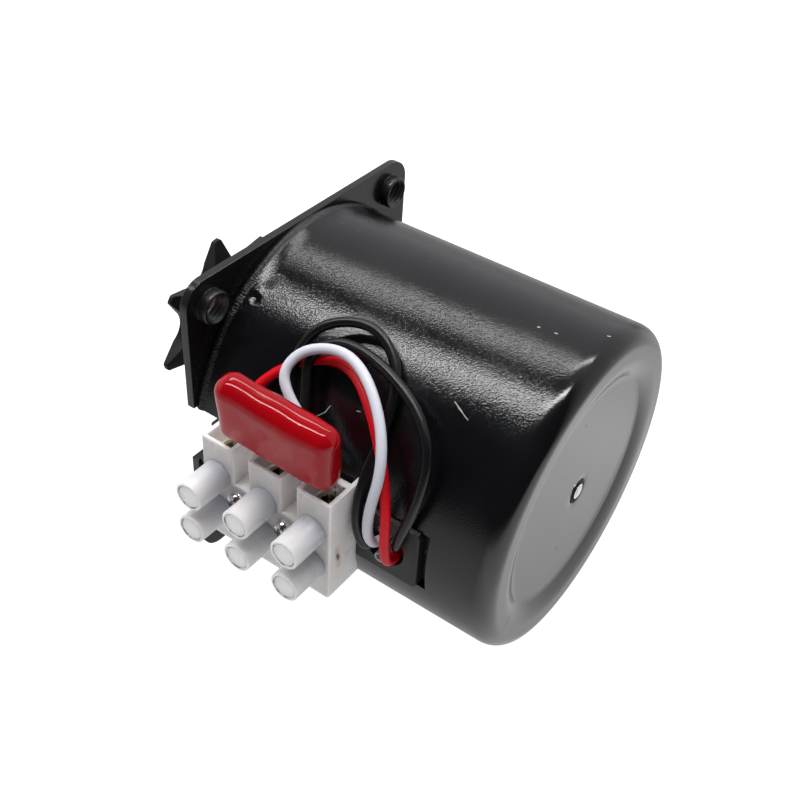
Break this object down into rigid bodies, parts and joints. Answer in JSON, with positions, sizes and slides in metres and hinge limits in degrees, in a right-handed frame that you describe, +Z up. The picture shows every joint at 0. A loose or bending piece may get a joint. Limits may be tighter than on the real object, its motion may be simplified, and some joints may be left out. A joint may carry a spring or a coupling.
{
  "type": "synchronous gear motor",
  "caption": "Round black synchronous gear motor with a square mounting plate, a chain sprocket on its shaft, a white terminal strip, a red capacitor and coloured leads.",
  "frame": {"origin": "centre of the mounting plate's front face, on the output shaft's axis", "axes": "-Y along the output shaft, away from the motor; +X towards the terminal strip; +Z up as it lies"},
  "size_m": [0.0746, 0.0848, 0.0602],
  "materials": {
    "plate_paint": "satin black paint",
    "can_paint": "satin black paint, fine grain",
    "carrier_plastic": "moulded",
    "bush_brass": "turned",
    "shaft_steel": "ground",
    "sprocket_black": "blackened steel",
    "black_screw": "blackened",
    "spring_steel": "plain",
    "gear_steel": "hobbed",
    "zinc_steel": "zinc plated",
    "gear_plastic": "moulded",
    "ferrite": "pressed ferrite",
    "bobbin_plastic": "moulded",
    "copper": "enamelled or bare copper",
    "block_plastic": "translucent natural white",
    "sleeve_brass": "drawn",
    "bright_zinc": "bright zinc",
    "capacitor_red": "dipped, glossy",
    "tinned_wire": "tinned",
    "clear_tube": "clear soft tube",
    "red_insulation": "extruded",
    "white_insulation": "extruded",
    "black_insulation": "extruded"
  },
  "bodies": {
    "housing": {"mounting_plate": "plate_paint", "motor_can": "can_paint", "terminal_carrier": "carrier_plastic", "output_bush": "bush_brass", "gear_plate": "zinc_steel", "gear_posts": "zinc_steel", "gear_plate_screws": "zinc_steel", "first_gear_pin": "shaft_steel", "second_gear_pin": "shaft_steel", "rotor_axle": "shaft_steel", "rotor_washer": "spring_steel", "front_stator_leading_claws": "zinc_steel", "front_stator_trailing_claws": "zinc_steel", "rear_stator_leading_claws": "zinc_steel", "rear_stator_trailing_claws": "zinc_steel", "front_bobbin": "bobbin_plastic", "rear_bobbin": "bobbin_plastic", "front_winding": "copper", "rear_winding": "copper", "terminal_block": "block_plastic", "terminal_plugs": "block_plastic", "terminal_sleeves": "sleeve_brass", "terminal_clamp_screws": "zinc_steel", "terminal_fixing_screws": "bright_zinc", "capacitor_body": "capacitor_red", "capacitor_legs": "tinned_wire", "lead_ends": "copper", "clear_sleeve": "clear_tube", "red_lead": "red_insulation", "white_lead": "white_insulation", "outer_black_lead": "black_insulation", "inner_black_lead": "black_insulation"},
    "output": {"output_shaft": "shaft_steel", "sprocket": "sprocket_black", "sprocket_set_screw": "black_screw", "shaft_clip": "spring_steel", "thrust_washer": "spring_steel", "output_gear": "gear_steel"},
    "second_stage": {"second_gear": "gear_steel"},
    "first_stage": {"first_gear": "gear_plastic"},
    "rotor": {"rotor_hub": "gear_plastic", "rotor_magnet": "ferrite"}
  },
  "joints": [
    {"name": "output_spin", "type": "hinge", "parent": "housing", "child": "output", "pos_m": [0, 0, 0], "axis": [0, -1, 0], "continuous": true},
    {"name": "second_stage_spin", "type": "hinge", "parent": "housing", "child": "second_stage", "pos_m": [-0.012, 0, 0], "axis": [0, -1, 0], "continuous": true},
    {"name": "first_stage_spin", "type": "hinge", "parent": "housing", "child": "first_stage", "pos_m": [-0.006, 0, 0.01039], "axis": [0, -1, 0], "continuous": true},
    {"name": "rotor_spin", "type": "hinge", "parent": "housing", "child": "rotor", "pos_m": [0, 0, 0], "axis": [0, -1, 0], "continuous": true}
  ],
  "couplings": [
    {"joint": "second_stage_spin", "follows": "output_spin", "ratio": -4},
    {"joint": "first_stage_spin", "follows": "output_spin", "ratio": 16},
    {"joint": "rotor_spin", "follows": "output_spin", "ratio": -64}
  ]
}
